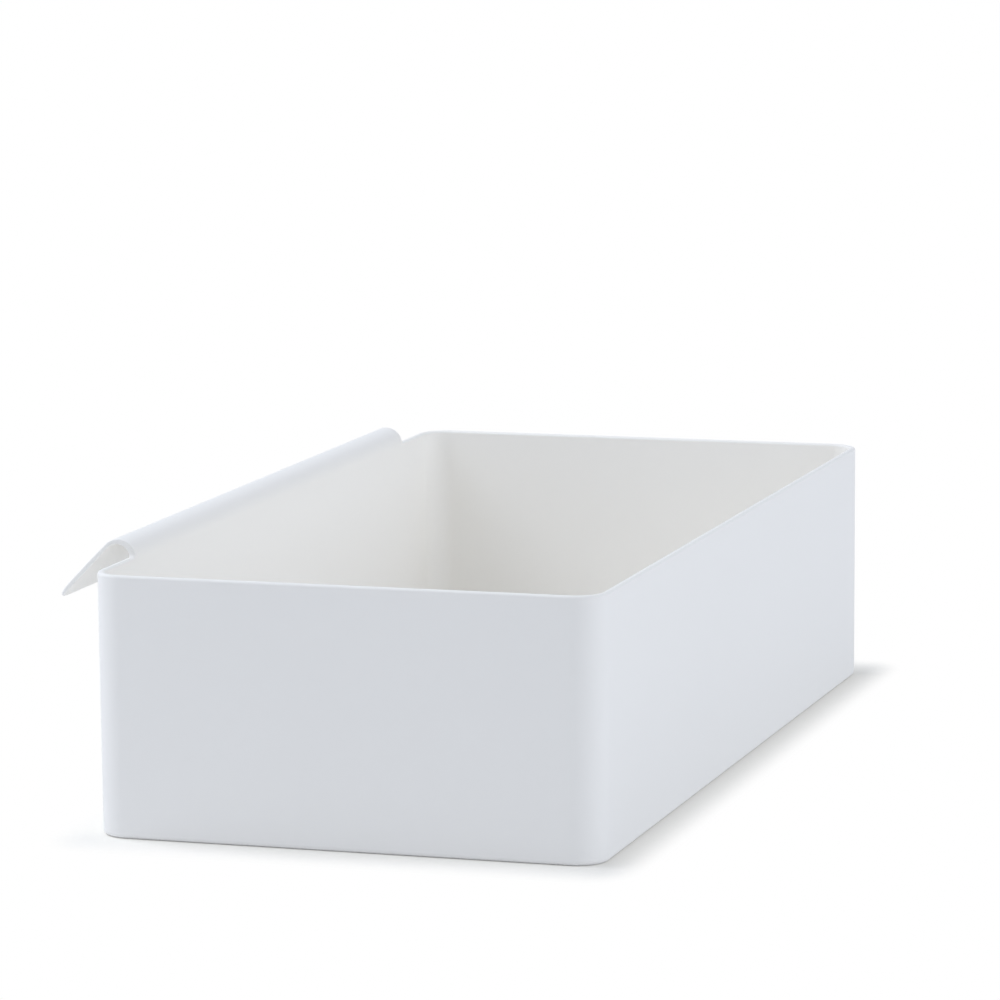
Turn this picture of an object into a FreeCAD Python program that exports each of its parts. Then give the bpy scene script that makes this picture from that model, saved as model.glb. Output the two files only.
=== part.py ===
import FreeCAD, Part

# Desk organizer tray with a hanging lip: an open moulded box, and a lip on the rim of one long wall.
# The lip goes on upwards from the wall, bends over outwards and slants down, so that the tray can
# hang by it on a rail.
#
# Frame: origin at the middle of the underside, +X along the tray, +Y towards the wall that carries
# the lip, +Z up. Lengths are in millimetres and angles in degrees.

import math
import os

import Sketcher
from FreeCAD import Placement, Rotation, Vector

# Every driving size: its name in the sheet, its value and what it measures.
SIZES = (
    ("tray_length", 318.0, "outside length at the rim"),
    ("tray_width", 157.0, "outside width at the rim"),
    ("tray_height", 79.0, "underside to rim"),
    ("corner_radius", 9.75, "outside radius of the upright corners at the rim"),
    ("draft_inset", 0.25, "how far each wall leans in from rim to underside, to leave its mould"),
    ("wall_thickness", 2.0, "wall at the rim"),
    ("floor_thickness", 2.2, "floor"),
    ("underside_radius", 1.5, "outside rounding between walls and underside"),
    ("floor_radius", 3.0, "inside rounding between walls and floor"),
    ("rim_rounding", 0.85, "rounding of both rim edges"),
    ("end_rounding", 0.4, "rounding of the lip's end edges"),
    ("lip_length", 251.0, "lip along the wall"),
    ("lip_reach", 23.5, "wall's outer face to the lip's tip, level"),
    ("bend_radius", 5.7, "outside radius of the bend"),
    ("bend_drop", 0.6, "how far below the rim the bend starts"),
    ("lip_thickness", 1.2, "lip where the bend ends and the flap starts"),
    ("tip_thickness", 1.2, "lip at its rounded tip"),
    ("flap_slope", 45.9, "slant of the flap's underside below level"),
    ("flap_bow_radius", 290.0, "slight outward bow of the flap's upper side"),
    ("root_depth", 1.5, "how deep the lip's root sits in the rim"),
    ("root_overhang", 1.2, "how far the root runs past each end of the lip"),
    ("root_fillet", 0.8, "fillet between the rim and each end of the lip"),
    ("overcut", 1.0, "how far each cut runs past the faces that it goes through"),
)

START = 1
END = 2
CENTRE = 3
ORIGIN = -1
TOUCHING = 0.001


def fill_sheet(doc):
    """Write the driving sizes into the document's sheet, and return them as plain numbers too."""
    sheet = doc.addObject("Spreadsheet::Sheet", "Sizes")
    for row, (name, value, meaning) in enumerate(SIZES, start=1):
        sheet.set(f"A{row}", name)
        sheet.set(f"B{row}", str(value))
        sheet.set(f"C{row}", meaning)
        sheet.setAlias(f"B{row}", name)
    doc.recompute()
    return {name: float(sheet.get(name)) for name, _, _ in SIZES}


def add_body(doc, name):
    """A body at the row's origin. Its label names its file."""
    body = doc.addObject("PartDesign::Body", name)
    body.Label = name
    body.Placement = Placement(Vector(0, 0, 0), Rotation())
    return body


def add_sketch(body, name, plane, height=None):
    """A sketch on one of the body's own origin planes, raised by the expression height."""
    sketch = body.newObject("Sketcher::SketchObject", name)
    plane = next(p for p in body.Origin.OriginFeatures if p.Role == plane)
    sketch.AttachmentSupport = [(plane, "")]
    sketch.MapMode = "FlatFace"
    if height:
        sketch.setExpression("AttachmentOffset.Base.z", height)
    return sketch


def add_feature(body, kind, name, profile=None, **expressions):
    """A feature of the body, with its sizes bound to the sheet."""
    feature = body.newObject(f"PartDesign::{kind}", name)
    if profile:
        feature.Profile = profile
        profile.Visibility = False
    for size, expression in expressions.items():
        feature.setExpression(size, expression)
    return feature


def size_constraint(sketch, name, expression, *constraint):
    """A named dimension of a sketch, bound to the sheet."""
    index = sketch.addConstraint(Sketcher.Constraint(*constraint))
    sketch.renameConstraint(index, name)
    sketch.setExpression(f"Constraints.{name}", expression)


def rectangle(sketch, low, high, **edges):
    """A rectangle whose left, right, bottom and top edges are bound to expressions."""
    corners = [
        Vector(low[0], low[1], 0),
        Vector(high[0], low[1], 0),
        Vector(high[0], high[1], 0),
        Vector(low[0], high[1], 0),
    ]
    for start, end in zip(corners, corners[1:] + corners[:1]):
        sketch.addGeometry(Part.LineSegment(start, end))
    bottom, right, top, left = range(4)
    for one, next_one in ((bottom, right), (right, top), (top, left), (left, bottom)):
        sketch.addConstraint(Sketcher.Constraint("Coincident", one, END, next_one, START))
    for level in (bottom, top):
        sketch.addConstraint(Sketcher.Constraint("Horizontal", level))
    for upright in (left, right):
        sketch.addConstraint(Sketcher.Constraint("Vertical", upright))
    place = {
        "left": ("DistanceX", ORIGIN, START, bottom, START, low[0]),
        "right": ("DistanceX", ORIGIN, START, bottom, END, high[0]),
        "bottom": ("DistanceY", ORIGIN, START, bottom, START, low[1]),
        "top": ("DistanceY", ORIGIN, START, top, START, high[1]),
    }
    for edge, expression in edges.items():
        size_constraint(sketch, edge, expression, *place[edge])


def rounded_rectangle(sketch, length, width, radius, expressions):
    """A rectangle with round corners, centred on the origin and bound to three expressions."""
    x = length / 2 - radius
    y = width / 2 - radius
    quarter = math.pi / 2
    centres = ((x, -y), (x, y), (-x, y), (-x, -y))
    sides = (
        ((-x, -width / 2), (x, -width / 2)),
        ((length / 2, -y), (length / 2, y)),
        ((x, width / 2), (-x, width / 2)),
        ((-length / 2, y), (-length / 2, -y)),
    )
    for side, (start, end) in enumerate(sides):
        sketch.addGeometry(Part.LineSegment(Vector(*start, 0), Vector(*end, 0)))
        circle = Part.Circle(Vector(*centres[side], 0), Vector(0, 0, 1), radius)
        first = (side - 1) * quarter
        sketch.addGeometry(Part.ArcOfCircle(circle, first, first + quarter))
    lines = (0, 2, 4, 6)
    arcs = (1, 3, 5, 7)
    for side in range(4):
        next_line = lines[(side + 1) % 4]
        sketch.addConstraint(Sketcher.Constraint("Tangent", lines[side], END, arcs[side], START))
        sketch.addConstraint(Sketcher.Constraint("Tangent", arcs[side], END, next_line, START))
    for line in (lines[0], lines[2]):
        sketch.addConstraint(Sketcher.Constraint("Horizontal", line))
    for line in (lines[1], lines[3]):
        sketch.addConstraint(Sketcher.Constraint("Vertical", line))
    for arc in arcs[1:]:
        sketch.addConstraint(Sketcher.Constraint("Equal", arcs[0], arc))
    middle = ("Symmetric", arcs[0], CENTRE, arcs[2], CENTRE, ORIGIN, START)
    sketch.addConstraint(Sketcher.Constraint(*middle))
    across_x = ("DistanceX", lines[3], END, lines[1], START, length)
    across_y = ("DistanceY", lines[0], START, lines[2], END, width)
    size_constraint(sketch, "length", expressions["length"], *across_x)
    size_constraint(sketch, "width", expressions["width"], *across_y)
    size_constraint(sketch, "radius", expressions["radius"], "Radius", arcs[0], radius)


def edges_where(shape, test):
    """The names of the edges that pass the test."""
    return [f"Edge{i}" for i, edge in enumerate(shape.Edges, start=1) if test(edge)]


def lies_at_height(edge, height):
    """Whether the edge lies level at that height."""
    box = edge.BoundBox
    return abs(box.ZMin - height) < TOUCHING and abs(box.ZMax - height) < TOUCHING


def fillet(body, name, base, edges, radius):
    """Round those edges of the feature base, by a radius bound to the sheet's expression."""
    if not edges:
        raise RuntimeError(f"{name}: no edge found to round")
    feature = add_feature(body, "Fillet", name, Radius=radius)
    feature.Base = (base, edges)
    feature.Document.recompute()
    return feature


def cut_depth(before, after, name):
    """Make sure that a cut took something away."""
    if after.Shape.Volume > before.Shape.Volume - 1.0:
        raise RuntimeError(f"{name} cuts nothing")


def make_tray(doc, size):
    """The open box: a drafted block, hollowed from the rim and rounded, with a seat for the lip's root."""
    body = add_body(doc, "tray")
    draft = "atan(Sizes.draft_inset / Sizes.tray_height)"

    outline = add_sketch(body, "rim_outline", "XY_Plane", "Sizes.tray_height")
    rounded_rectangle(
        outline,
        size["tray_length"],
        size["tray_width"],
        size["corner_radius"],
        {"length": "Sizes.tray_length", "width": "Sizes.tray_width", "radius": "Sizes.corner_radius"},
    )
    block = add_feature(body, "Pad", "drafted_block", outline, Length="Sizes.tray_height")
    block.setExpression("TaperAngle", f"-{draft}")
    block.Reversed = True
    doc.recompute()

    inside = add_sketch(body, "inside_outline", "XY_Plane", "Sizes.tray_height")
    wall = size["wall_thickness"]
    rounded_rectangle(
        inside,
        size["tray_length"] - 2 * wall,
        size["tray_width"] - 2 * wall,
        size["corner_radius"] - wall,
        {
            "length": "Sizes.tray_length - 2 * Sizes.wall_thickness",
            "width": "Sizes.tray_width - 2 * Sizes.wall_thickness",
            "radius": "Sizes.corner_radius - Sizes.wall_thickness",
        },
    )
    hollow = add_feature(body, "Pocket", "hollow", inside, Length="Sizes.tray_height - Sizes.floor_thickness")
    hollow.setExpression("TaperAngle", f"-{draft}")
    doc.recompute()
    cut_depth(block, hollow, "the hollow")

    rim = size["tray_height"]
    floor = size["floor_thickness"]
    under = edges_where(hollow.Shape, lambda e: lies_at_height(e, 0))
    rounded = fillet(body, "underside_rounding", hollow, under, "Sizes.underside_radius")
    around_floor = edges_where(rounded.Shape, lambda e: lies_at_height(e, floor))
    rounded = fillet(body, "floor_rounding", rounded, around_floor, "Sizes.floor_radius")
    rim_edges = edges_where(rounded.Shape, lambda e: lies_at_height(e, rim))
    round_rim = "min(Sizes.rim_rounding; 0.45 * Sizes.wall_thickness)"
    rounded = fillet(body, "rim_rounding", rounded, rim_edges, round_rim)

    seat = add_sketch(body, "seat_outline", "XY_Plane", "Sizes.tray_height")
    half_root = size["lip_length"] / 2 + size["root_overhang"]
    over = size["overcut"]
    rectangle(
        seat,
        (-half_root, size["tray_width"] / 2 - wall - over),
        (half_root, size["tray_width"] / 2 + over),
        left="-Sizes.lip_length / 2 - Sizes.root_overhang",
        right="Sizes.lip_length / 2 + Sizes.root_overhang",
        bottom="Sizes.tray_width / 2 - Sizes.wall_thickness - Sizes.overcut",
        top="Sizes.tray_width / 2 + Sizes.overcut",
    )
    lip_seat = add_feature(body, "Pocket", "lip_seat", seat, Length="Sizes.root_depth")
    doc.recompute()
    cut_depth(rounded, lip_seat, "the seat")
    return body


def add_line(sketch, start, end):
    """A straight edge of a sketch."""
    return sketch.addGeometry(Part.LineSegment(Vector(*start, 0), Vector(*end, 0)))


def add_arc(sketch, centre, radius, first, last):
    """An arc of a sketch, anticlockwise from one angle to the other."""
    circle = Part.Circle(Vector(*centre, 0), Vector(0, 0, 1), radius)
    return sketch.addGeometry(Part.ArcOfCircle(circle, first, last))


def lip_section(sketch, size):
    """The lip's section, seen along the tray: root, bend, bowed flap and round tip, all tangent."""
    inner_face = size["tray_width"] / 2 - size["wall_thickness"]
    outer_face = size["tray_width"] / 2
    rim = size["tray_height"]
    base = rim - size["root_depth"]
    slope = math.radians(size["flap_slope"])
    bow = size["flap_bow_radius"]
    bend = size["bend_radius"]
    tip = size["tip_thickness"] / 2
    square = math.pi / 2
    outwards = Vector(math.sin(slope), math.cos(slope), 0)
    downwards = Vector(math.cos(slope), -math.sin(slope), 0)

    # The flap's upper side is bowed, so the bend stops short of the flap's slant by half the bow's turn.
    bend_centre = Vector(inner_face + bend, rim - size["bend_drop"], 0)
    flap = (outer_face + size["lip_reach"] - bend_centre.x - outwards.x * bend) / math.cos(slope)
    bend_end = slope - flap / (2 * bow)
    turned = Vector(math.sin(bend_end), math.cos(bend_end), 0)
    joint = bend_centre + turned * bend
    bow_centre = joint - turned * bow
    under_joint = joint - outwards * size["lip_thickness"]
    root_top = Vector(outer_face, bend_centre.y, 0)
    inner_bend = outwards.dot(under_joint - root_top) / (1 + math.sin(slope))
    inner_centre = root_top + Vector(inner_bend, 0, 0)
    under_start = inner_centre + outwards * inner_bend
    tip_y = outer_face + size["lip_reach"] - tip
    along = (tip_y - under_joint.x - outwards.x * tip) / math.cos(slope)
    under_end = under_joint + downwards * along
    tip_centre = under_end + outwards * tip
    tip_turn = math.atan2((tip_centre - bow_centre).y, (tip_centre - bow_centre).x)

    root_base = add_line(sketch, (outer_face, base), (inner_face, base))
    root_front = add_line(sketch, (inner_face, base), (inner_face, bend_centre.y))
    outer_bend = add_arc(sketch, bend_centre[:2], bend, square - bend_end, math.pi)
    upper_side = add_arc(sketch, bow_centre[:2], bow, tip_turn, square - bend_end)
    round_tip = add_arc(sketch, tip_centre[:2], tip, -square - slope, tip_turn)
    underside = add_line(sketch, under_start[:2], under_end[:2])
    under_bend = add_arc(sketch, inner_centre[:2], inner_bend, square - slope, math.pi)
    root_back = add_line(sketch, root_top[:2], (outer_face, base))

    joints = (
        (root_front, END, outer_bend, END),
        (outer_bend, START, upper_side, END),
        (upper_side, START, round_tip, END),
        (round_tip, START, underside, END),
        (underside, START, under_bend, START),
        (under_bend, END, root_back, START),
    )
    for ends in joints:
        sketch.addConstraint(Sketcher.Constraint("Tangent", *ends))
    sketch.addConstraint(Sketcher.Constraint("Coincident", root_back, END, root_base, START))
    sketch.addConstraint(Sketcher.Constraint("Coincident", root_base, END, root_front, START))
    sketch.addConstraint(Sketcher.Constraint("Horizontal", root_base))
    sketch.addConstraint(Sketcher.Constraint("Vertical", root_front))
    sketch.addConstraint(Sketcher.Constraint("Vertical", root_back))

    dimensions = (
        ("inner_face", "Sizes.tray_width / 2 - Sizes.wall_thickness",
         "DistanceX", ORIGIN, START, root_base, END, inner_face),
        ("outer_face", "Sizes.tray_width / 2", "DistanceX", ORIGIN, START, root_base, START, outer_face),
        ("base", "Sizes.tray_height - Sizes.root_depth", "DistanceY", ORIGIN, START, root_base, END, base),
        ("bend_start", "Sizes.tray_height - Sizes.bend_drop",
         "DistanceY", ORIGIN, START, root_front, END, bend_centre.y),
        ("under_bend_start", "Sizes.tray_height - Sizes.bend_drop",
         "DistanceY", ORIGIN, START, root_back, START, bend_centre.y),
        ("bend", "Sizes.bend_radius", "Radius", outer_bend, bend),
        ("bow", "Sizes.flap_bow_radius", "Radius", upper_side, bow),
        ("tip", "Sizes.tip_thickness / 2", "Radius", round_tip, tip),
        ("slope", "-Sizes.flap_slope", "Angle", underside, -slope),
        ("thickness", "Sizes.lip_thickness", "Distance", outer_bend, START, underside, size["lip_thickness"]),
        ("reach", "Sizes.lip_reach - Sizes.tip_thickness / 2",
         "DistanceX", root_back, START, round_tip, CENTRE, tip_y - outer_face),
    )
    for name, expression, *constraint in dimensions:
        size_constraint(sketch, name, expression, *constraint)


def end_outline(sketch, size):
    """What is cut from above the rim past one end of the lip, with a round foot between the two."""
    lip_end = size["lip_length"] / 2
    rim = size["tray_height"]
    foot = size["root_fillet"]
    far_end = lip_end + size["root_overhang"] + size["overcut"]
    top = rim + 2 * size["bend_radius"]
    square = math.pi / 2
    upright = add_line(sketch, (lip_end, top), (lip_end, rim + foot))
    round_foot = add_arc(sketch, (lip_end + foot, rim + foot), foot, 2 * square, 3 * square)
    level = add_line(sketch, (lip_end + foot, rim), (far_end, rim))
    far_side = add_line(sketch, (far_end, rim), (far_end, top))
    top_side = add_line(sketch, (far_end, top), (lip_end, top))
    sketch.addConstraint(Sketcher.Constraint("Tangent", upright, END, round_foot, START))
    sketch.addConstraint(Sketcher.Constraint("Tangent", round_foot, END, level, START))
    for one, next_one in ((level, far_side), (far_side, top_side), (top_side, upright)):
        sketch.addConstraint(Sketcher.Constraint("Coincident", one, END, next_one, START))
    for line in (level, top_side):
        sketch.addConstraint(Sketcher.Constraint("Horizontal", line))
    for line in (upright, far_side):
        sketch.addConstraint(Sketcher.Constraint("Vertical", line))
    dimensions = (
        ("lip_end", "Sizes.lip_length / 2", "DistanceX", ORIGIN, START, upright, END, lip_end),
        ("far_end", "Sizes.lip_length / 2 + Sizes.root_overhang + Sizes.overcut",
         "DistanceX", ORIGIN, START, level, END, far_end),
        ("rim", "Sizes.tray_height", "DistanceY", ORIGIN, START, level, END, rim),
        ("top", "Sizes.tray_height + 2 * Sizes.bend_radius", "DistanceY", ORIGIN, START, top_side, END, top),
        ("foot", "Sizes.root_fillet", "Radius", round_foot, foot),
    )
    for name, expression, *constraint in dimensions:
        size_constraint(sketch, name, expression, *constraint)


def make_lip(doc, size):
    """The lip: its bent section along the wall, cut back at both ends to a root that fills the seat."""
    body = add_body(doc, "hanging_lip")
    section = add_sketch(body, "lip_section", "YZ_Plane")
    lip_section(section, size)
    root_length = "Sizes.lip_length + 2 * Sizes.root_overhang"
    blank = add_feature(body, "Pad", "lip_blank", section, Length=root_length)
    blank.SideType = "Symmetric"
    doc.recompute()

    above = add_sketch(body, "end_outline", "XZ_Plane")
    end_outline(above, size)
    reach = "2 * (Sizes.tray_width / 2 + Sizes.lip_reach + Sizes.overcut)"
    end_cut = add_feature(body, "Pocket", "end_cut", above, Length=reach)
    end_cut.SideType = "Symmetric"
    doc.recompute()
    cut_depth(blank, end_cut, "the cut above the rim")

    outer_face = size["tray_width"] / 2
    over = size["overcut"]
    lip_end = size["lip_length"] / 2
    above_lip = "Sizes.tray_height + Sizes.bend_radius"
    flap_outline = add_sketch(body, "flap_outline", "XY_Plane", above_lip)
    rectangle(
        flap_outline,
        (lip_end, outer_face + over),
        (lip_end + size["root_overhang"] + over, outer_face + size["lip_reach"] + over),
        left="Sizes.lip_length / 2",
        right="Sizes.lip_length / 2 + Sizes.root_overhang + Sizes.overcut",
        bottom="Sizes.tray_width / 2 + Sizes.overcut",
        top="Sizes.tray_width / 2 + Sizes.lip_reach + Sizes.overcut",
    )
    flap_cut = add_feature(body, "Pocket", "flap_cut", flap_outline, Length=above_lip)
    doc.recompute()
    cut_depth(end_cut, flap_cut, "the cut beside the flap")

    both_ends = body.newObject("PartDesign::Mirrored", "both_ends")
    both_ends.Originals = [end_cut, flap_cut]
    middle = next(p for p in body.Origin.OriginFeatures if p.Role == "YZ_Plane")
    both_ends.MirrorPlane = (middle, [""])
    body.Tip = both_ends
    doc.recompute()
    cut_depth(flap_cut, both_ends, "the mirrored cuts")

    rim = size["tray_height"]
    root_end = lip_end + size["root_overhang"]

    def bounds_an_end(edge):
        """Whether the edge bounds either end of the lip, or the rim and the round foot beside it."""
        box = edge.BoundBox
        beside = min(abs(box.XMin), abs(box.XMax)) > lip_end - TOUCHING
        at_root_end = abs(box.XMin) > root_end - TOUCHING and box.XLength < TOUCHING
        across_foot = box.XLength < TOUCHING and box.ZLength < TOUCHING
        below_root = box.ZMax < rim - TOUCHING and box.YMax < outer_face + TOUCHING
        return beside and not at_root_end and not across_foot and not below_root

    ends = edges_where(both_ends.Shape, bounds_an_end)
    fillet(body, "end_rounding", both_ends, ends, "Sizes.end_rounding")
    return body


def check(doc, bodies):
    """Stop if any object failed, any sketch is loose, or a sub-part has no valid single solid."""
    for item in doc.Objects:
        if "Invalid" in item.State or "Error" in item.State:
            raise RuntimeError(f"{item.Name} failed: {item.State}")
        if item.TypeId == "Sketcher::SketchObject" and not item.FullyConstrained:
            raise RuntimeError(f"{item.Name} isn't fully constrained")
    for body in bodies:
        shape = body.Shape
        if shape.isNull() or not shape.isValid() or len(shape.Solids) != 1:
            raise RuntimeError(f"{body.Label} isn't one valid solid")


def main():
    """Build both sub-parts and write one file for each."""
    doc = FreeCAD.newDocument("desk_tray")
    size = fill_sheet(doc)
    bodies = (make_tray(doc, size), make_lip(doc, size))
    doc.recompute()
    check(doc, bodies)
    os.makedirs("parts", exist_ok=True)
    for body in bodies:
        body.Shape.exportStep(f"parts/{body.Label}.step")
        box = body.Shape.BoundBox
        low = f"{box.XMin:.2f} {box.YMin:.2f} {box.ZMin:.2f}"
        high = f"{box.XMax:.2f} {box.YMax:.2f} {box.ZMax:.2f}"
        print(f"{body.Label}: {low} to {high}, {body.Shape.Volume / 1000:.1f} cubic centimetres")


main()
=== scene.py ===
"""Studio picture of a white moulded desk tray with a lip that hangs over a rail.

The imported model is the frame. Each piece is built here in mesh code where its solid stands, and
takes its outside sizes from that solid's box. Pieces are worked out in millimetres.
"""

import logging
import math
from collections.abc import Iterable, Sequence
from dataclasses import dataclass, field
from enum import Enum
from typing import NamedTuple

import bmesh
import bpy
from mathutils import Matrix, Vector


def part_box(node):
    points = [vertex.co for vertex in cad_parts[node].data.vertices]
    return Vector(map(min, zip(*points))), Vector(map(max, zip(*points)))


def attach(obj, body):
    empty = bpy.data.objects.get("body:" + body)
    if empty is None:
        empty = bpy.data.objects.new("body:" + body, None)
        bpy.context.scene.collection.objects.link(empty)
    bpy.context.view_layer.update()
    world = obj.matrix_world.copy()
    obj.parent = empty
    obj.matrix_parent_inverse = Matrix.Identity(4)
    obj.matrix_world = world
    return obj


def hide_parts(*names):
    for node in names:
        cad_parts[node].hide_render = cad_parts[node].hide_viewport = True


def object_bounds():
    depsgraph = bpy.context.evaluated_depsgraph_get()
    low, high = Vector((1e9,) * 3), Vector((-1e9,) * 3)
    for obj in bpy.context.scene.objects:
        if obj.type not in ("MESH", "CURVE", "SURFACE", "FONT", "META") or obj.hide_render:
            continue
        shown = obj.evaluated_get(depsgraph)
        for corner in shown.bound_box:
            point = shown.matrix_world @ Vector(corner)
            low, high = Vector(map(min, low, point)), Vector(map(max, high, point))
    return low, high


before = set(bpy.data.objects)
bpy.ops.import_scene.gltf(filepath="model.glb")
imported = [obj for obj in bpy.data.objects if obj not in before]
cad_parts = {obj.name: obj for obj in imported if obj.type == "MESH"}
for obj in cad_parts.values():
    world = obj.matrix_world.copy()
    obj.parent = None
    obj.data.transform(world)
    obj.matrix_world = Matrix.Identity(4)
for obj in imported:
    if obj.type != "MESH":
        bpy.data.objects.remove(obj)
CAD_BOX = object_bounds()

LOG = logging.getLogger("desk_tray")
MM = 0.001
BODY = "root"
Colour = tuple[float, float, float]


class Node(Enum):
    """The solids of the model."""

    TRAY = "tray"
    LIP = "hanging_lip"


class Side(Enum):
    """The sides of the tray, by the angle at which each looks outwards."""

    RIGHT_END = 0
    LIP_WALL = 90
    LEFT_END = 180
    BARE_WALL = 270


class Box(NamedTuple):
    """The box of a solid, in millimetres."""

    low: Vector
    high: Vector

    @classmethod
    def of(cls, node: Node) -> "Box":
        """Measure a solid of the frame.

        Args:
            node: The solid.

        Returns:
            Its box.
        """
        low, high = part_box(node.value)
        return cls(Vector(low) / MM, Vector(high) / MM)


def rgba(colour: Colour) -> tuple[float, float, float, float]:
    """The colour with full opacity."""
    return (*colour, 1.0)


def spread(first: float, last: float, steps: int) -> list[float]:
    """Evenly spaced numbers from first to last, both of them included."""
    return [first + (last - first) * step / steps for step in range(steps + 1)]


def polar(degrees: float) -> tuple[float, float]:
    """The unit step in that direction, anticlockwise from the first axis."""
    turn = math.radians(degrees)
    return math.cos(turn), math.sin(turn)


class Moulding:
    """Collects rows of points and turns them into one smooth, closed mesh.

    Attributes:
        WELD: Points nearer to each other than this are one point, in metres.
        CREASE_DEGREES: Edges that turn by more than this stay sharp.
        FLATNESS: How much more the large faces count than the small ones in the shading, in percent.
    """

    WELD = 2e-7
    CREASE_DEGREES = 35.0
    FLATNESS = 80

    def __init__(self) -> None:
        """Start with nothing."""
        self.points: list[Vector] = []
        self.faces: list[tuple[int, ...]] = []

    def row(self, points: Iterable[Vector]) -> list[int]:
        """Add a row of points.

        Args:
            points: The points, in millimetres.

        Returns:
            Their numbers.
        """
        first = len(self.points)
        self.points.extend(points)
        return list(range(first, len(self.points)))

    def bridge(self, near: Sequence[int], far: Sequence[int], closed: bool = False) -> None:
        """Join two rows of the same length by four-sided faces.

        Args:
            near: One row.
            far: The next row.
            closed: Whether the rows run back to their start.
        """
        count = len(near)
        for here in range(count if closed else count - 1):
            there = (here + 1) % count
            self.faces.append((near[here], near[there], far[there], far[here]))

    def build(self, name: str) -> bpy.types.Object:
        """Weld the rows and make the piece.

        Args:
            name: The piece's name.

        Returns:
            The piece, smooth but for its true edges.
        """
        mesh = bpy.data.meshes.new(name)
        mesh.from_pydata([point * MM for point in self.points], [], self.faces)
        work = bmesh.new()
        work.from_mesh(mesh)
        bmesh.ops.remove_doubles(work, verts=work.verts, dist=self.WELD)
        bmesh.ops.recalc_face_normals(work, faces=work.faces)
        work.to_mesh(mesh)
        work.free()
        mesh.shade_smooth()
        mesh.set_sharp_from_angle(angle=math.radians(self.CREASE_DEGREES))
        piece = bpy.data.objects.new(name, mesh)
        bpy.context.scene.collection.objects.link(piece)
        flats = piece.modifiers.new("keep flats flat", "WEIGHTED_NORMAL")
        flats.keep_sharp = True
        flats.weight = self.FLATNESS
        return piece


@dataclass(frozen=True)
class SatinPlastic:
    """White plastic as it comes from a lightly etched mould.

    Attributes:
        name: The material's name.
        tint: Colour of the plastic.
        drift: How far the colour drifts where the melt flowed slower, as a share.
        roughness: Roughness of the skin.
        roughness_spread: How far the roughness strays over the skin.
        grain_mm: Size of one pit of the etched texture.
        grain_depth_mm: Depth of that texture.
        ripple_mm: Distance between the slow waves that cooling leaves.
        ripple_depth_mm: Height of those waves.
        ior: Refractive index.
    """

    name: str
    tint: Colour = (0.965, 0.94, 0.885)
    drift: float = 0.012
    roughness: float = 0.62
    roughness_spread: float = 0.05
    grain_mm: float = 0.22
    grain_depth_mm: float = 0.004
    ripple_mm: float = 38.0
    ripple_depth_mm: float = 0.02
    ior: float = 1.5

    def material(self, groups: "Groups") -> bpy.types.Material:
        """Build the material of this finish.

        Args:
            groups: The shared node groups.

        Returns:
            The material.
        """
        material = bpy.data.materials.new(self.name)
        material.use_nodes = True
        nodes, link = material.node_tree.nodes, material.node_tree.links.new
        shader = nodes["Principled BSDF"]
        shader.inputs["IOR"].default_value = self.ior

        flow = nodes.new("ShaderNodeGroup")
        flow.node_tree = groups.flow
        flow.inputs["Drift"].default_value = self.drift
        tint = nodes.new("ShaderNodeVectorMath")
        tint.operation = "SCALE"
        tint.inputs[0].default_value = self.tint
        link(flow.outputs["Shade"], tint.inputs["Scale"])
        link(tint.outputs["Vector"], shader.inputs["Base Color"])

        skin = nodes.new("ShaderNodeGroup")
        skin.node_tree = groups.skin
        skin.inputs["Grain Scale"].default_value = 1.0 / (self.grain_mm * MM)
        skin.inputs["Grain Depth"].default_value = self.grain_depth_mm * MM
        skin.inputs["Ripple Scale"].default_value = 1.0 / (self.ripple_mm * MM)
        skin.inputs["Ripple Depth"].default_value = self.ripple_depth_mm * MM
        bump = nodes.new("ShaderNodeBump")
        bump.inputs["Distance"].default_value = 1.0
        link(skin.outputs["Height"], bump.inputs["Height"])
        link(bump.outputs["Normal"], shader.inputs["Normal"])

        stray = nodes.new("ShaderNodeMapRange")
        stray.inputs["To Min"].default_value = self.roughness - self.roughness_spread
        stray.inputs["To Max"].default_value = self.roughness + self.roughness_spread
        link(skin.outputs["Mask"], stray.inputs["Value"])
        link(stray.outputs["Result"], shader.inputs["Roughness"])
        return material


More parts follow.
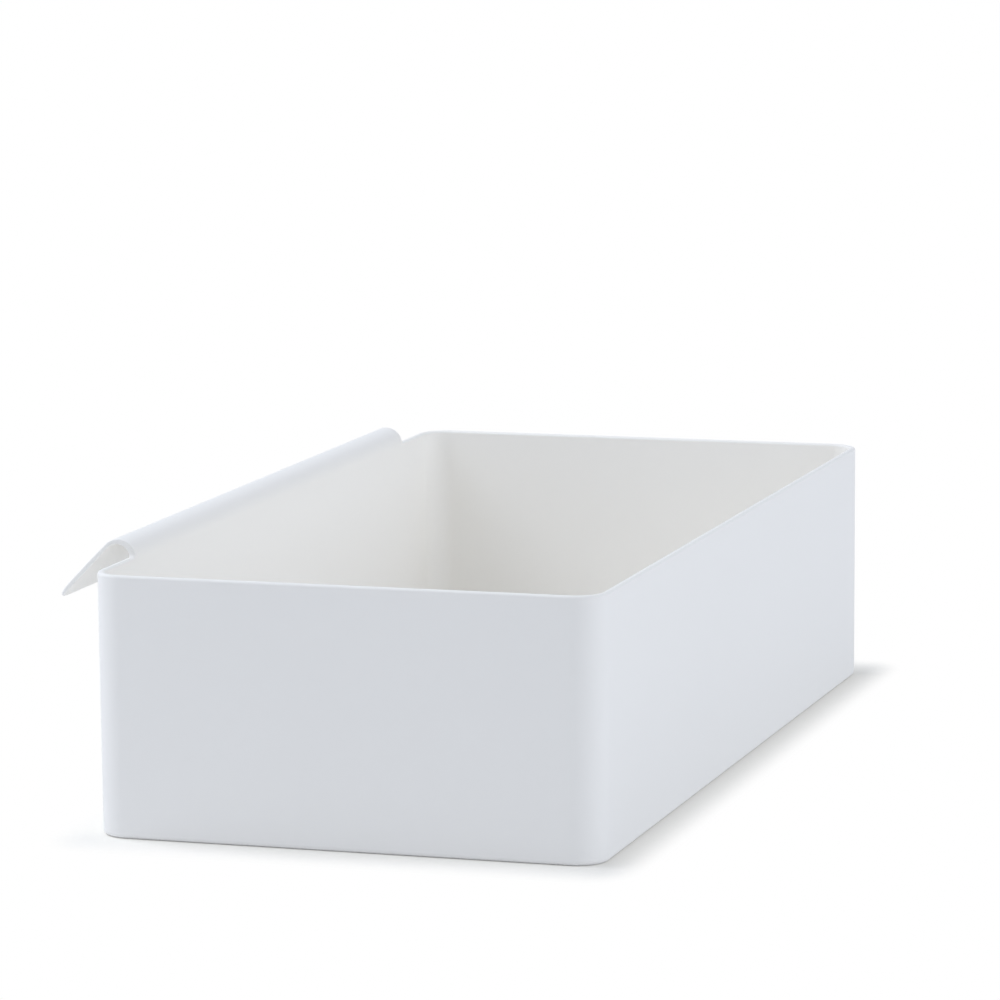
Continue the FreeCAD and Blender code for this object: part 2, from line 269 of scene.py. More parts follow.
class Groups:
    """The shader node groups that the materials share, each built once.

    Attributes:
        PATCHES: Patches of the roughness per metre.
        STREAKS: Streaks of the colour per metre, along each axis.
    """

    PATCHES = 60.0
    STREAKS = (6.0, 14.0, 18.0)

    def __init__(self) -> None:
        """Build every group."""
        self.skin = self._build_skin()
        self.flow = self._build_flow()

    @staticmethod
    def _start(name: str, inputs: dict[str, float], outputs: dict[str, str]) -> bpy.types.NodeTree:
        """Begin a group.

        Args:
            name: The group's name.
            inputs: Name and default of each number that goes in.
            outputs: Name and socket type of each result.

        Returns:
            The group with its sockets, and nodes for them that are named in and out.
        """
        group = bpy.data.node_groups.new(name, "ShaderNodeTree")
        for title, value in inputs.items():
            socket = group.interface.new_socket(title, in_out="INPUT", socket_type="NodeSocketFloat")
            socket.default_value = value
        for title, kind in outputs.items():
            group.interface.new_socket(title, in_out="OUTPUT", socket_type=kind)
        group.nodes.new("NodeGroupInput").name = "in"
        group.nodes.new("NodeGroupOutput").name = "out"
        return group

    def _build_skin(self) -> bpy.types.NodeTree:
        """The etched skin: fine pits and slow waves, as one height in metres.

        Returns:
            The group. Its height feeds a Bump node, and its mask strays from 0 to 1.
        """
        inputs = {"Grain Scale": 4500.0, "Grain Depth": 4e-6, "Ripple Scale": 26.0, "Ripple Depth": 2e-5}
        outputs = {"Height": "NodeSocketFloat", "Mask": "NodeSocketFloat"}
        group = self._start("etched skin", inputs, outputs)
        nodes, link = group.nodes, group.links.new
        place = nodes.new("ShaderNodeTexCoord")
        grain = nodes.new("ShaderNodeTexNoise")
        grain.inputs["Detail"].default_value = 2.0
        ripple = nodes.new("ShaderNodeTexNoise")
        ripple.inputs["Detail"].default_value = 1.0
        patches = nodes.new("ShaderNodeTexNoise")
        patches.inputs["Scale"].default_value = self.PATCHES
        patches.inputs["Detail"].default_value = 3.0
        total = nodes.new("ShaderNodeMath")
        total.operation = "ADD"
        for noise, scale, depth, slot in (
            (grain, "Grain Scale", "Grain Depth", 0),
            (ripple, "Ripple Scale", "Ripple Depth", 1),
        ):
            link(place.outputs["Object"], noise.inputs["Vector"])
            link(nodes["in"].outputs[scale], noise.inputs["Scale"])
            deepen = nodes.new("ShaderNodeMath")
            deepen.operation = "MULTIPLY"
            link(noise.outputs["Fac"], deepen.inputs[0])
            link(nodes["in"].outputs[depth], deepen.inputs[1])
            link(deepen.outputs[0], total.inputs[slot])
        link(place.outputs["Object"], patches.inputs["Vector"])
        link(total.outputs[0], nodes["out"].inputs["Height"])
        link(patches.outputs["Fac"], nodes["out"].inputs["Mask"])
        return group

    def _build_flow(self) -> bpy.types.NodeTree:
        """The slow drift of colour along the melt's path.

        Returns:
            The group. Its shade strays about 1, and multiplies the plastic's colour.
        """
        group = self._start("melt flow", {"Drift": 0.01}, {"Shade": "NodeSocketFloat"})
        nodes, link = group.nodes, group.links.new
        place = nodes.new("ShaderNodeTexCoord")
        stretch = nodes.new("ShaderNodeMapping")
        stretch.inputs["Scale"].default_value = self.STREAKS
        noise = nodes.new("ShaderNodeTexNoise")
        noise.inputs["Scale"].default_value = 1.0
        noise.inputs["Detail"].default_value = 2.0
        link(place.outputs["Object"], stretch.inputs["Vector"])
        link(stretch.outputs["Vector"], noise.inputs["Vector"])
        centred = nodes.new("ShaderNodeMath")
        centred.operation = "SUBTRACT"
        centred.inputs[1].default_value = 0.5
        link(noise.outputs["Fac"], centred.inputs[0])
        shade = nodes.new("ShaderNodeMath")
        shade.operation = "MULTIPLY_ADD"
        shade.inputs[2].default_value = 1.0
        link(centred.outputs[0], shade.inputs[0])
        link(nodes["in"].outputs["Drift"], shade.inputs[1])
        link(shade.outputs[0], nodes["out"].inputs["Shade"])
        return group


class Station(NamedTuple):
    """A place on the tray's outline where its section stands.

    Attributes:
        foot: The place on the outline, at the rim.
        outward: The way that the wall looks there.
        seated: Whether the rim is cut down there for the lip's root.
    """

    foot: Vector
    outward: Vector
    seated: bool = False


@dataclass
class TrayShell:
    """The open box: one section of its wall, swept round a rectangle with round corners.

    Attributes:
        box: The solid's box.
        lip_box: The box of the lip's solid, whose root sits in the rim.
        corner_radius: Outside radius of the upright corners at the rim.
        draft: How far each wall leans in from rim to underside.
        wall: Thickness of the walls.
        floor: Thickness of the floor.
        underside_radius: Outside rounding between walls and underside.
        floor_radius: Inside rounding between walls and floor.
        rim_rounding: Rounding of both rim edges.
        seat_depth: How deep the lip's root sits in the rim.
        corner_steps: Faces round one corner.
        long_steps: Faces along a long wall, between its corners.
        short_steps: Faces along a short wall, between its corners.
        wall_steps: Faces up the level part of a wall.
        edge_steps: Faces over each outer rounding of the section.
        floor_steps: Faces over the rounding inside at the floor.
    """

    SAME_PLACE = 1e-6

    box: Box
    lip_box: Box
    corner_radius: float = 9.75
    draft: float = 0.25
    wall: float = 2.0
    floor: float = 2.2
    underside_radius: float = 1.5
    floor_radius: float = 3.0
    rim_rounding: float = 0.85
    seat_depth: float = 1.5
    corner_steps: int = 18
    long_steps: int = 22
    short_steps: int = 10
    wall_steps: int = 6
    edge_steps: int = 8
    floor_steps: int = 10

    @property
    def rim(self) -> float:
        """Height of the rim above the underside."""
        return self.box.high.z

    def lean(self, height: float) -> float:
        """How far the wall stands in from its outline at that height."""
        return self.draft * (self.rim - height) / self.rim

    def corner_centre(self) -> Vector:
        """Find where the corner's arcs turn.

        Returns:
            The place in the corner where both axes are positive.
        """
        half_length = self.box.high.x + self.lean(self.rim - self.rim_rounding)
        half_width = self.box.high.y + self.lean(self.rim - self.rim_rounding)
        return Vector((half_length - self.corner_radius, half_width - self.corner_radius, 0.0))

    def section(self) -> list[tuple[float, float]]:
        """The wall's section, from the middle of the underside's corner over the rim to the floor.

        Returns:
            Inset from the outline and height of each point.
        """
        under, inside, edge = self.underside_radius, self.floor_radius, self.rim_rounding
        points = [(self.corner_radius, 0.0)]
        for turn in spread(270.0, 180.0, self.edge_steps):
            step, rise = polar(turn)
            height = under + rise * under
            points.append((self.lean(height) + under + step * under, height))
        for height in spread(under, self.rim - edge, self.wall_steps)[1:-1]:
            points.append((self.lean(height), height))
        for turn in spread(180.0, 90.0, self.edge_steps):
            step, rise = polar(turn)
            points.append((self.lean(self.rim - edge) + edge + step * edge, self.rim - edge + rise * edge))
        for turn in spread(90.0, 0.0, self.edge_steps):
            step, rise = polar(turn)
            points.append((self.wall - edge + step * edge, self.rim - edge + rise * edge))
        top_of_curve = self.floor + inside
        for height in spread(self.rim - edge, top_of_curve, self.wall_steps)[1:-1]:
            points.append((self.wall + self.lean(height), height))
        for turn in spread(180.0, 270.0, self.floor_steps):
            step, rise = polar(turn)
            height = top_of_curve + rise * inside
            points.append((self.wall + self.lean(height) + inside + step * inside, height))
        points.append((self.corner_radius, self.floor))
        return points

    def along_length(self) -> list[float]:
        """Find where the sections stand along a long wall.

        Returns:
            The places, with the ends of the root's seat among them.
        """
        reach = self.corner_centre().x
        root = self.lip_box.high.x
        inner = spread(-root, root, self.long_steps - 2)
        return [-reach, *inner, reach]

    def along_width(self) -> list[float]:
        """Where the sections stand along a short wall."""
        reach = self.corner_centre().y
        return spread(-reach, reach, self.short_steps)

    def stations(self) -> list[Station]:
        """Every section's place, once round the tray.

        Returns:
            The stations. The seat's ends have two each, at the same place.
        """
        centre, root = self.corner_centre(), self.lip_box.high.x
        found: list[Station] = []
        for side in Side:
            outward = Vector((*polar(side.value), 0.0))
            onward = Vector((-outward.y, outward.x, 0.0))
            lengthwise = side in (Side.LIP_WALL, Side.BARE_WALL)
            places = self.along_length() if lengthwise else self.along_width()
            away = centre.y if lengthwise else centre.x
            edge = outward * (away + self.corner_radius)
            for place in places:
                foot = edge + onward * place
                if side is not Side.LIP_WALL:
                    found.append(Station(foot, outward))
                elif math.isclose(abs(place), root, abs_tol=self.SAME_PLACE):
                    found.append(Station(foot, outward, seated=place > 0))
                    found.append(Station(foot, outward, seated=place < 0))
                else:
                    found.append(Station(foot, outward, seated=abs(place) < root))
            middle = edge - outward * self.corner_radius + onward * places[-1]
            for turn in spread(side.value, side.value + 90.0, self.corner_steps)[1:-1]:
                look = Vector((*polar(turn), 0.0))
                found.append(Station(middle + look * self.corner_radius, look))
        return found

    def build(self) -> bpy.types.Object:
        """Sweep the section, close floor and underside, and put the piece in its place.

        Returns:
            The piece.
        """
        shell = Moulding()
        stations = self.stations()
        seat = self.rim - self.seat_depth
        rows = []
        for inset, height in self.section():
            heights = [min(height, seat) if station.seated else height for station in stations]
            places = [station.foot - station.outward * inset for station in stations]
            rows.append(shell.row(
                Vector((place.x, place.y, level)) for place, level in zip(places, heights)
            ))
        for near, far in zip(rows, rows[1:]):
            shell.bridge(near, far, closed=True)
        for level in (0.0, self.floor):
            lines = [
                shell.row(Vector((x, y, level)) for x in self.along_length())
                for y in self.along_width()
            ]
            for near, far in zip(lines, lines[1:]):
                shell.bridge(near, far)
        return shell.build("tray_shell")


class Slice(NamedTuple):
    """One cross-section through the lip's thickness, as Y and Z.

    Attributes:
        over: Point of the upper side.
        over_way: The way that the upper side looks there.
        under: Point of the underside.
        under_way: The way that the underside looks there.
    """

    over: Vector
    over_way: Vector
    under: Vector
    under_way: Vector


class Rib(NamedTuple):
    """A slice with its two ends.

    Attributes:
        cut: The slice.
        reach: X on the positive side at which its end edges begin.
        end_way: The way that the end looks there.
        rounding: Rounding of its end edges.
    """

    cut: Slice
    reach: float
    end_way: Vector
    rounding: float


@dataclass
class LipSection:
    """The lip's section: an upright root, a bend, and a slanting flap with a round tip.

    Attributes:
        inner: Y of the wall's inner face, which the root carries on.
        wall: Thickness of that wall.
        top: Height of the bend's crown.
        reach: Y of the tip.
        bend_radius: Outside radius of the bend.
        slope: Slant of the flap's underside below level, in degrees.
        bow: Radius of the flap's slight outward bow.
        thickness: Thickness where the bend ends.
        tip_radius: Radius of the round tip.
        centre: Centre of the upper side's bend.
        over_stop: How far the upper side has turned where its bend ends, in radians.
        turned: The way that it looks there.
        bow_centre: Centre of the flap's bow.
        under_bend: Radius of the underside's bend.
        under_centre: Centre of that bend.
        under_stop: How far the underside has turned where its bend ends, in radians.
        under_start: Where the flap's underside begins.
        under_end: Where it ends, at the tip's rounding.
        upwards: The way that is square to that underside, towards the upper side.
        tip_way: The way that the upper side looks at the tip's rounding.
        onwards: The way that the tip points.
    """

    inner: float
    wall: float
    top: float
    reach: float
    bend_radius: float
    slope: float
    bow: float
    thickness: float
    tip_radius: float
    centre: Vector = field(init=False)
    over_stop: float = field(init=False)
    turned: Vector = field(init=False)
    bow_centre: Vector = field(init=False)
    under_bend: float = field(init=False)
    under_centre: Vector = field(init=False)
    under_stop: float = field(init=False)
    under_start: Vector = field(init=False)
    under_end: Vector = field(init=False)
    upwards: Vector = field(init=False)
    tip_way: Vector = field(init=False)
    onwards: Vector = field(init=False)

    def __post_init__(self) -> None:
        """Work out the centres of the arcs and where they meet."""
        slope = math.radians(self.slope)
        self.upwards = Vector((math.sin(slope), math.cos(slope)))
        downwards = Vector((math.cos(slope), -math.sin(slope)))
        self.centre = Vector((self.inner + self.bend_radius, self.top - self.bend_radius))
        flap = (self.reach - self.centre.x - self.upwards.x * self.bend_radius) / downwards.x
        bend_end = slope - flap / (2 * self.bow)
        self.over_stop = math.pi / 2 + bend_end
        self.under_stop = math.pi / 2 + slope
        self.turned = Vector((math.sin(bend_end), math.cos(bend_end)))
        joint = self.centre + self.turned * self.bend_radius
        self.bow_centre = joint - self.turned * self.bow

        under_joint = joint - self.upwards * self.thickness
        root_top = Vector((self.inner + self.wall, self.centre.y))
        self.under_bend = self.upwards.dot(under_joint - root_top) / (1 + math.sin(slope))
        self.under_centre = root_top + Vector((self.under_bend, 0.0))
        self.under_start = self.under_centre + self.upwards * self.under_bend
        rest = self.reach - self.tip_radius - under_joint.x - self.upwards.x * self.tip_radius
        self.under_end = under_joint + downwards * (rest / downwards.x)
        tip_centre = self.under_end + self.upwards * self.tip_radius
        self.tip_way = (tip_centre - self.bow_centre).normalized()
        across = (self.tip_way + self.upwards).normalized()
        self.onwards = Vector((across.y, -across.x))

    @property
    def flap_length(self) -> float:
        """Length of the flap's underside, from the bend to the tip's rounding."""
        return (self.under_end - self.under_start).length

    def on_bend(self, over_turn: float, under_turn: float) -> Slice:
        """Cut the bend.

        Args:
            over_turn: How far the upper side has turned there, in radians.
            under_turn: How far the underside has turned there.

        Returns:
            The slice.
        """
        over_way = Vector((-math.cos(over_turn), math.sin(over_turn)))
        under_way = Vector((-math.cos(under_turn), math.sin(under_turn)))
        over = self.centre + over_way * self.bend_radius
        return Slice(over, over_way, self.under_centre + under_way * self.under_bend, -under_way)

    def at_height(self, height: float) -> Slice:
        """Cut the upright root, or the lowest part of the bend, at one level.

        Args:
            height: The level.

        Returns:
            The slice.
        """
        rise = height - self.centre.y
        if rise > 0:
            return self.on_bend(math.asin(rise / self.bend_radius), math.asin(rise / self.under_bend))
        inwards, outer = Vector((-1.0, 0.0)), self.inner + self.wall
        return Slice(Vector((self.inner, height)), inwards, Vector((outer, height)), -inwards)

    def on_flap(self, share: float) -> Slice:
        """Cut the flap.

        Args:
            share: How far along the flap, from 0 at the bend to 1 at the tip's rounding.

        Returns:
            The slice.
        """
        way = self.turned.slerp(self.tip_way, share)
        under = self.under_start.lerp(self.under_end, share)
        return Slice(self.bow_centre + way * self.bow, way, under, -self.upwards)


@dataclass
class HangingLip:
    """The bent lip: cross-sections that run from the root in the rim, over the bend, to the tip.

    Attributes:
        box: The solid's box.
        shell: The tray, whose wall and rim the lip carries on.
        root_overhang: How far the root runs past each end of the lip.
        foot: Radius of the round foot between the rim and each end of the lip.
        end_rounding: Rounding of the end edges, which the rim's rounding shrinks to over the foot.
        corner_radius: Radius of the flap's free corners, seen square to the flap.
        bend_radius: Outside radius of the bend.
        flap_slope: Slant of the flap's underside below level, in degrees.
        flap_bow: Radius of the flap's slight outward bow.
        thickness: Thickness where the bend ends.
        tip_radius: Radius of the round tip.
        columns: Faces along the lip.
        foot_steps: Faces over each foot.
        bend_steps: Faces over the bend.
        flap_steps: Faces from the bend to the free corners.
        corner_steps: Faces round each free corner.
        edge_steps: Faces over each end edge.
        face_steps: Faces between the two edges of an end, and through the root's base.
        section: The lip's section.
        lip_end: X at which the lip's straight end stands, on the positive side.
        foot_top: Height at which the feet end.
    """

    box: Box
    shell: TrayShell
    root_overhang: float = 1.2
    foot: float = 0.8
    end_rounding: float = 0.4
    corner_radius: float = 4.5
    bend_radius: float = 5.7
    flap_slope: float = 45.9
    flap_bow: float = 290.0
    thickness: float = 1.2
    tip_radius: float = 0.6
    columns: int = 22
    foot_steps: int = 6
    bend_steps: int = 24
    flap_steps: int = 10
    corner_steps: int = 9
    edge_steps: int = 5
    face_steps: int = 3
    section: LipSection = field(init=False)
    lip_end: float = field(init=False)
    foot_top: float = field(init=False)

    def __post_init__(self) -> None:
        """Lay out the section and the lip's straight ends."""
        self.section = LipSection(
            inner=self.box.low.y, wall=self.shell.wall, top=self.box.high.z, reach=self.box.high.y,
            bend_radius=self.bend_radius, slope=self.flap_slope, bow=self.flap_bow,
            thickness=self.thickness, tip_radius=self.tip_radius,
        )
        self.lip_end = self.box.high.x - self.root_overhang
        self.foot_top = self.shell.rim + self.foot

    def root_ribs(self) -> list[Rib]:
        """The root in its seat, up to the rim, whose rounding it carries on.

        Returns:
            The cross-sections, from the lowest.
        """
        rim, rounding, end = self.shell.rim, self.shell.rim_rounding, self.box.high.x
        upright = Vector((0.0, 0.0, 1.0))
        heights = (rim - self.shell.seat_depth, rim - rounding)
        found = [Rib(self.section.at_height(height), end, upright, 0.0) for height in heights]
        found.append(Rib(self.section.at_height(rim - rounding), end, upright, rounding))
        return found

    def foot_ribs(self) -> list[Rib]:
        """The round foot, over which the root's level top turns into the lip's upright ends.

        Returns:
            The cross-sections, from the rim upwards.
        """
        turns = spread(90.0, 0.0, self.foot_steps)
        roundings = spread(self.shell.rim_rounding, self.end_rounding, len(turns))[1:]
        found = []
        for turn, rounding in zip(turns, roundings):
            across, up = polar(turn)
            side = self.foot + rounding
            reach, height = self.lip_end + self.foot - across * side, self.foot_top - up * side
            found.append(Rib(self.section.at_height(height), reach, Vector((across, 0.0, up)), rounding))
        return found

    def bend_ribs(self) -> list[Rib]:
        """The bend above the foot.

        Returns:
            The cross-sections, up to where the flap begins.
        """
        section, steps = self.section, self.bend_steps
        rise = self.foot_top - section.centre.y
        over_turns = spread(math.asin(rise / section.bend_radius), section.over_stop, steps)
        under_turns = spread(math.asin(rise / section.under_bend), section.under_stop, steps)
        return [
            self.straight_rib(section.on_bend(over_turn, under_turn))
            for over_turn, under_turn in zip(over_turns[1:], under_turns[1:])
        ]

    def flap_ribs(self) -> list[Rib]:
        """The flap, up to where its free corners begin.

        Returns:
            The cross-sections, from the bend onwards.
        """
        stop = 1.0 - (self.corner_radius - self.tip_radius) / self.section.flap_length
        shares = spread(0.0, stop, self.flap_steps)[1:]
        return [self.straight_rib(self.section.on_flap(share)) for share in shares]

    def corner_ribs(self) -> list[Rib]:
        """The flap's end, whose free corners are cut round and whose end edges grow as round as the tip.

        Returns:
            The cross-sections, up to the tip's rounding.
        """
        turns = spread(0.0, 90.0, self.corner_steps)
        roundings = spread(self.end_rounding, self.tip_radius, self.corner_steps)
        onwards = self.section.onwards
        found = []
        for turn, rounding in zip(turns[1:], roundings[1:]):
            across, onward = polar(turn)
            side = self.corner_radius - rounding
            behind = self.corner_radius - side * onward - self.tip_radius
            found.append(Rib(
                self.section.on_flap(1.0 - behind / self.section.flap_length),
                self.lip_end - self.corner_radius + side * across,
                Vector((across, onwards.x * onward, onwards.y * onward)),
                rounding,
            ))
        return found

    def straight_rib(self, cut: Slice) -> Rib:
        """A cross-section between the lip's straight ends."""
        return Rib(cut, self.lip_end - self.end_rounding, Vector((1.0, 0.0, 0.0)), self.end_rounding)

    def along(self, point: Vector, reach: float) -> list[Vector]:
        """The points of a line along the lip."""
        return [Vector((x, point.x, point.y)) for x in spread(-reach, reach, self.columns)]

    def end_edge(self, rib: Rib, point: Vector, way: Vector) -> list[Vector]:
        """Round the edge between one side of a cross-section and its positive end.

        Args:
            rib: The cross-section.
            point: The side's point, as Y and Z.
            way: The way that the side looks there.

        Returns:
            The points of the rounding, from the side to the end.
        """
        start = Vector((rib.reach, point.x, point.y))
        sideways = Vector((0.0, way.x, way.y))
        ways = [sideways.slerp(rib.end_way, share) for share in spread(0.0, 1.0, self.edge_steps)[1:]]
        return [start + (turned - sideways) * rib.rounding for turned in ways]

    def end_profile(self, rib: Rib) -> list[Vector]:
        """The points over the positive end of a cross-section.

        Args:
            rib: The cross-section.

        Returns:
            Its points, from the upper side to the underside.
        """
        over = self.end_edge(rib, rib.cut.over, rib.cut.over_way)
        under = self.end_edge(rib, rib.cut.under, rib.cut.under_way)
        face = [over[-1].lerp(under[-1], share) for share in spread(0.0, 1.0, self.face_steps)[1:-1]]
        return [*over, *face, *reversed(under)]

    def loop(self, rib: Rib) -> list[Vector]:
        """The points once round a cross-section.

        Args:
            rib: The cross-section.

        Returns:
            Its points: upper side, one end, underside, other end.
        """
        over, under = self.along(rib.cut.over, rib.reach), self.along(rib.cut.under, rib.reach)
        positive = self.end_profile(rib)
        negative = [Vector((-point.x, point.y, point.z)) for point in reversed(positive)]
        return [*over, *positive, *reversed(under), *negative]

    def close(self, strip: Moulding, points: list[Vector], reach: float) -> None:
        """Close one end of the strip by lines along the lip.

        Args:
            strip: The mesh.
            points: Where the lines run, as Y and Z, from the upper side to the underside.
            reach: X at which they end on the positive side.
        """
        lines = [strip.row(self.along(point, reach)) for point in points]
        for near, far in zip(lines, lines[1:]):
            strip.bridge(near, far)

    def build(self) -> bpy.types.Object:
        """Join the cross-sections, close the base and the tip, and put the piece in its place.

        Returns:
            The piece.
        """
        strip = Moulding()
        ribs = [*self.root_ribs(), *self.foot_ribs(), *self.bend_ribs()]
        ribs += [*self.flap_ribs(), *self.corner_ribs()]
        rows = [strip.row(self.loop(rib)) for rib in ribs]
        for near, far in zip(rows, rows[1:]):
            strip.bridge(near, far, closed=True)
        base, tip = ribs[0], ribs[-1]
        shares = spread(0.0, 1.0, self.face_steps)
        self.close(strip, [base.cut.over.lerp(base.cut.under, share) for share in shares], base.reach)
        tip_points = [Vector((point.y, point.z)) for point in self.end_profile(tip)]
        self.close(strip, [tip.cut.over, *tip_points, tip.cut.under], tip.reach)
        return strip.build("lip")


@dataclass
class DeskTray:
    """The whole product, dressed in one plastic."""

    finish: SatinPlastic = field(default_factory=lambda: SatinPlastic("white satin plastic"))

    def build(self, groups: Groups) -> None:
        """Build every piece, dress it and let it stand for its solid.

        Args:
            groups: The shared node groups.
        """
        lip_box = Box.of(Node.LIP)
        shell = TrayShell(Box.of(Node.TRAY), lip_box)
        plastic = self.finish.material(groups)
        parts = {
            Node.TRAY: shell.build(),
            Node.LIP: HangingLip(lip_box, shell).build(),
        }
        for node, piece in parts.items():
            piece.data.materials.append(plastic)
            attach(piece, BODY)
            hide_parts(node.value)
            LOG.info("%s: %d faces, for %s", piece.name, len(piece.data.polygons), node.value)


@dataclass
class Softbox:
    """A square area light that looks at the tray.

    Attributes:
        name: The light's name.
        azimuth: Degrees from +X towards +Y.
        elevation: Degrees above the floor.
        watts: Its power.
        side: Length of its side in metres.
        distance: Metres from the tray.
    """

    name: str
    azimuth: float
    elevation: float
    watts: float
    side: float = 0.95
    distance: float = 1.9

    def build(self, aim: Vector, colour: Colour) -> bpy.types.Object:
        """Place the light.

        Args:
            aim: The point it looks at.
            colour: Colour of its light.

        Returns:
            The light.
        """
        lamp = bpy.data.lights.new(self.name, "AREA")
        lamp.shape = "SQUARE"
        lamp.size = self.side
        lamp.energy = self.watts
        lamp.color = colour
        light = bpy.data.objects.new(self.name, lamp)
        turn, lift = math.radians(self.azimuth), math.radians(self.elevation)
        away = Vector((math.cos(turn) * math.cos(lift), math.sin(turn) * math.cos(lift), math.sin(lift)))
        light.location = aim + away * self.distance
        light.rotation_euler = (-away).to_track_quat("-Z", "Y").to_euler()
        bpy.context.scene.collection.objects.link(light)
        return light


@dataclass
class Studio:
    """The pale floor, the white surroundings and the soft lights.

    Attributes:
        floor_side: Length of the floor's side in metres.
        floor_tint: Colour of the floor as it lights the tray.
        floor_glow: Extra light that the floor sends up, as a lit sweep does.
        floor_shown: Colour of the floor close to the tray, as the camera records it.
        fade: How far from the tray's ends and its long walls the floor's shadow has been painted over with
            plain white, in metres.
        aim_height: Height of the point that the lights look at.
        light_tint: Colour of every light.
        glow: Strength of the soft light from all round.
        lights: The lights.
    """

    floor_side: float = 12.0
    floor_tint: Colour = (0.85, 0.85, 0.85)
    floor_glow: float = 0.032
    floor_shown: Colour = (1.0, 0.968, 0.892)
    # painted light: the distances over which plain white covers the floor's shadow round the tray
    fade: tuple[float, float] = (0.022, 0.014)
    aim_height: float = 0.04
    light_tint: Colour = (0.842, 0.893, 1.0)
    glow: float = 0.592
    lights: list[Softbox] = field(default_factory=lambda: [
        Softbox("left_high", 90.0, 50.0, 14.0),
        Softbox("left_low", 120.0, 18.0, 1.4),
        Softbox("left_near", 120.0, 50.0, 3.9),
        Softbox("right_low", 270.0, 18.0, 8.5),
    ])

    def build(self) -> None:
        """Build the floor, the lights and the surroundings."""
        lowest, _ = CAD_BOX
        aim = Vector((0.0, 0.0, lowest[2] + self.aim_height))
        for light in self.lights:
            light.build(aim, self.light_tint)
        self._build_floor(lowest[2])
        self._build_world()
        LOG.info("studio: floor and %d lights", len(self.lights))

    def _build_floor(self, height: float) -> None:
        """Lay the floor under the tray.

        Args:
            height: Height of the floor in metres.
        """
        half = self.floor_side / 2
        corners = [(-half, -half, height), (half, -half, height), (half, half, height), (-half, half, height)]
        mesh = bpy.data.meshes.new("studio_floor")
        mesh.from_pydata(corners, [], [(0, 1, 2, 3)])
        floor = bpy.data.objects.new("studio_floor", mesh)
        bpy.context.scene.collection.objects.link(floor)
        mesh.materials.append(self._floor_material())

    def _painted_white_share(self, tree: bpy.types.NodeTree) -> bpy.types.NodeSocket:
        """Add the nodes for how far the floor's shadow is painted over with plain white.

        Args:
            tree: The floor's nodes.

        Returns:
            The socket with that share, which is 0 under the tray and 1 beyond the fade.
        """
        nodes, link = tree.nodes, tree.links.new
        reach = Box.of(Node.TRAY).high * MM
        share = nodes.new("ShaderNodeTexCoord").outputs["Object"]
        for operation, value in (
            ("ABSOLUTE", None),
            ("SUBTRACT", (reach.x, reach.y, 0.0)),
            ("MAXIMUM", (0.0, 0.0, 0.0)),
            ("DIVIDE", (*self.fade, 1.0)),
            ("LENGTH", None),
        ):
            step = nodes.new("ShaderNodeVectorMath")
            step.operation = operation
            link(share, step.inputs[0])
            if value:
                step.inputs[1].default_value = value
            share = step.outputs["Value" if operation == "LENGTH" else "Vector"]
        smooth = nodes.new("ShaderNodeMapRange")
        smooth.interpolation_type = "SMOOTHSTEP"
        link(share, smooth.inputs["Value"])
        return smooth.outputs["Result"]

    def _floor_material(self) -> bpy.types.Material:
        """A matt white floor. The camera sees its lit shading near the tray and painted plain white further
        out, which cuts the tray's shadow short.

        Returns:
            The material.
        """
        material = bpy.data.materials.new("pale floor")
        material.use_nodes = True
        nodes, link = material.node_tree.nodes, material.node_tree.links.new
        nodes.clear()
        near = nodes.new("ShaderNodeBsdfDiffuse")
        near.inputs["Color"].default_value = rgba(self.floor_shown)
        # painted light: a plain white emission that the camera sees in place of the floor's shading, more of
        # it the further from the tray
        white = nodes.new("ShaderNodeEmission")
        white.inputs["Color"].default_value = rgba((1.0, 1.0, 1.0))
        matt = nodes.new("ShaderNodeBsdfDiffuse")
        matt.inputs["Color"].default_value = rgba(self.floor_tint)
        lit = nodes.new("ShaderNodeEmission")
        lit.inputs["Color"].default_value = rgba(self.light_tint)
        lit.inputs["Strength"].default_value = self.floor_glow
        seen = nodes.new("ShaderNodeMixShader")
        unseen = nodes.new("ShaderNodeAddShader")
        path = nodes.new("ShaderNodeLightPath")
        blend = nodes.new("ShaderNodeMixShader")
        output = nodes.new("ShaderNodeOutputMaterial")
        link(self._painted_white_share(material.node_tree), seen.inputs["Fac"])
        link(near.outputs["BSDF"], seen.inputs[1])
        link(white.outputs["Emission"], seen.inputs[2])
        link(matt.outputs["BSDF"], unseen.inputs[0])
        link(lit.outputs["Emission"], unseen.inputs[1])
        link(path.outputs["Is Camera Ray"], blend.inputs["Fac"])
        link(unseen.outputs["Shader"], blend.inputs[1])
        link(seen.outputs["Shader"], blend.inputs[2])
        link(blend.outputs["Shader"], output.inputs["Surface"])
        return material

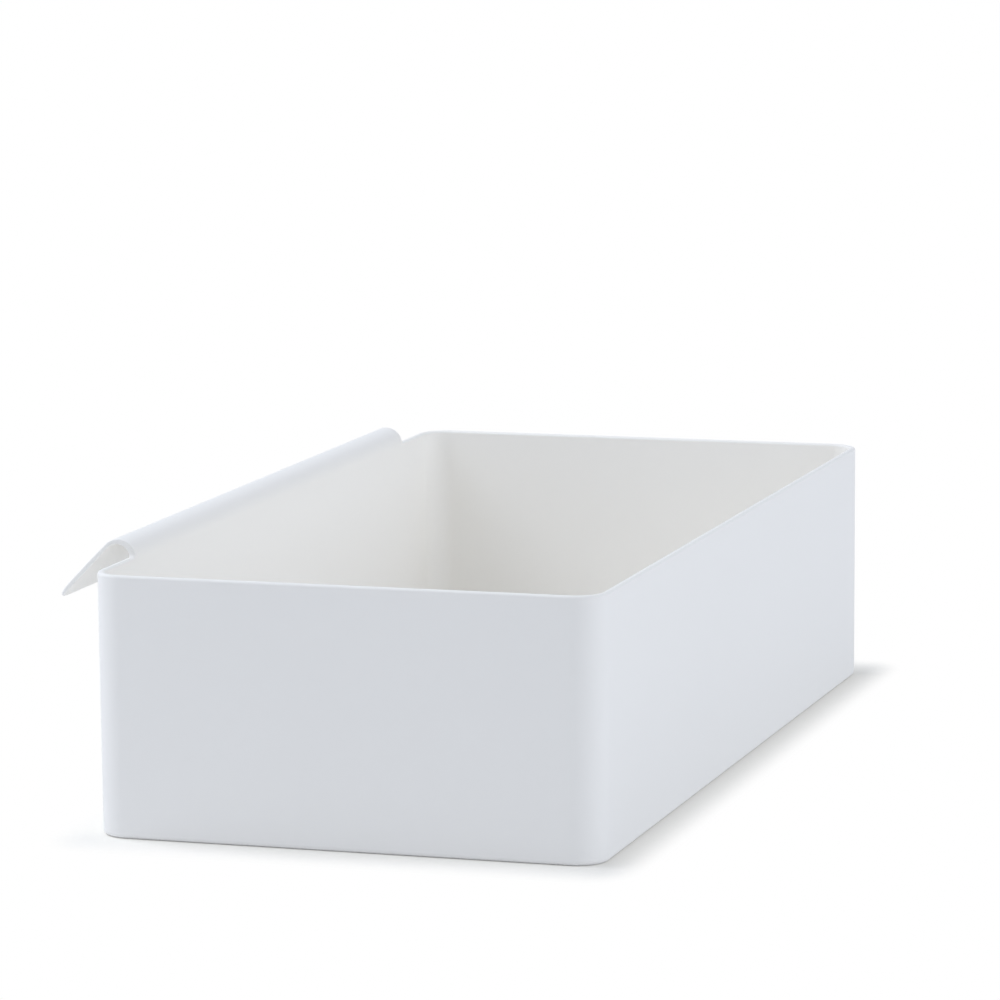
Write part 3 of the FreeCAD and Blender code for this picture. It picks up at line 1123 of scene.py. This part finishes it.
    def _build_world(self) -> None:
        """Surround the tray with a soft glow that the camera sees as plain white."""
        world = bpy.data.worlds.new("white surroundings")
        bpy.context.scene.world = world
        world.use_nodes = True
        nodes, link = world.node_tree.nodes, world.node_tree.links.new
        glow = nodes["Background"]
        glow.inputs["Color"].default_value = rgba(self.light_tint)
        glow.inputs["Strength"].default_value = self.glow
        backdrop = nodes.new("ShaderNodeBackground")
        backdrop.inputs["Color"].default_value = rgba((1.0, 1.0, 1.0))
        path = nodes.new("ShaderNodeLightPath")
        blend = nodes.new("ShaderNodeMixShader")
        link(path.outputs["Is Camera Ray"], blend.inputs["Fac"])
        link(glow.outputs["Background"], blend.inputs[1])
        link(backdrop.outputs["Background"], blend.inputs[2])
        link(blend.outputs["Shader"], nodes["World Output"].inputs["Surface"])


@dataclass
class StudioCamera:
    """The camera at the photograph's viewpoint.

    Attributes:
        position: Where it stands, in metres.
        heading: Degrees from +X towards +Y.
        dip: Degrees that it looks down.
        roll: Degrees that it is turned about its own axis.
        lens_mm: Focal length.
        sensor_mm: Width of the sensor.
    """

    position: tuple[float, float, float] = (-1.5295, -0.4834, 0.3267)
    heading: float = 17.588
    dip: float = 8.728
    roll: float = -0.5045
    lens_mm: float = 183.277
    sensor_mm: float = 36.0

    def build(self) -> None:
        """Build the camera and make it the scene's own."""
        data = bpy.data.cameras.new("studio_camera")
        data.sensor_width = self.sensor_mm
        data.lens = self.lens_mm
        camera = bpy.data.objects.new("studio_camera", data)
        turn = Matrix.Rotation(math.radians(self.heading - 90.0), 4, "Z")
        tilt = Matrix.Rotation(math.radians(90.0 - self.dip), 4, "X")
        roll = Matrix.Rotation(math.radians(self.roll), 4, "Z")
        camera.matrix_world = Matrix.Translation(Vector(self.position)) @ turn @ tilt @ roll
        bpy.context.scene.collection.objects.link(camera)
        bpy.context.scene.camera = camera
        LOG.info("camera: %.0f mm", self.lens_mm)


def main() -> None:
    """Build the picture and report each piece."""
    logging.basicConfig(level=logging.INFO, format="%(message)s")
    DeskTray().build(Groups())
    Studio().build()
    StudioCamera().build()
    bpy.context.scene.view_settings.view_transform = "Standard"


if __name__ == "__main__":
    main()
